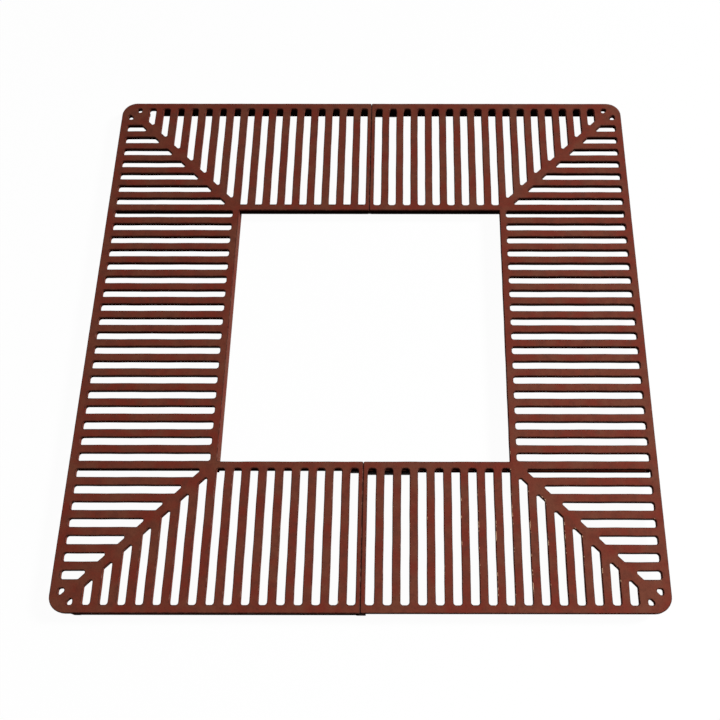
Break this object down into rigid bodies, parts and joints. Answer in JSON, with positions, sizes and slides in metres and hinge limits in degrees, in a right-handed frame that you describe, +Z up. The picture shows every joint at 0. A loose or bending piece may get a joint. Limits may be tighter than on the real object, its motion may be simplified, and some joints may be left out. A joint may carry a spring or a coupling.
{
  "type": "tree grate",
  "caption": "Square cast iron tree grate that parts down the middle, with a square trunk opening, mitred bands of slots, ribs and feet below, and screwed joint plates.",
  "frame": {"origin": "middle of the square grate, on the ground that its ribs and feet stand on", "axes": "+Z up, +X along the near side from the left half to the right half, +Y to the far side"},
  "size_m": [1, 1, 0.03],
  "materials": {
    "cast_iron": "sand cast, evenly weathered to a matt red-brown rust patina",
    "plate_steel": "flat steel with a brown primer, rusted at the edges",
    "screw_steel": "plain zinc-grey steel, dulled"
  },
  "bodies": {
    "right_half": {"grate_half_right": "cast_iron", "joint_plate_near_outer": "plate_steel", "joint_plate_near_inner": "plate_steel", "joint_plate_far_inner": "plate_steel", "joint_plate_far_outer": "plate_steel", "screw_near_outer_1": "screw_steel", "screw_near_outer_2": "screw_steel", "screw_near_outer_3": "screw_steel", "screw_near_inner_1": "screw_steel", "screw_near_inner_2": "screw_steel", "screw_near_inner_3": "screw_steel", "screw_far_inner_1": "screw_steel", "screw_far_inner_2": "screw_steel", "screw_far_inner_3": "screw_steel", "screw_far_outer_1": "screw_steel", "screw_far_outer_2": "screw_steel", "screw_far_outer_3": "screw_steel"},
    "left_half": {"grate_half_left": "cast_iron"}
  },
  "joints": [
    {"name": "halves_part", "type": "slide", "parent": "right_half", "child": "left_half", "axis": [-1, 0, 0], "range_m": [0, 0.5]}
  ]
}
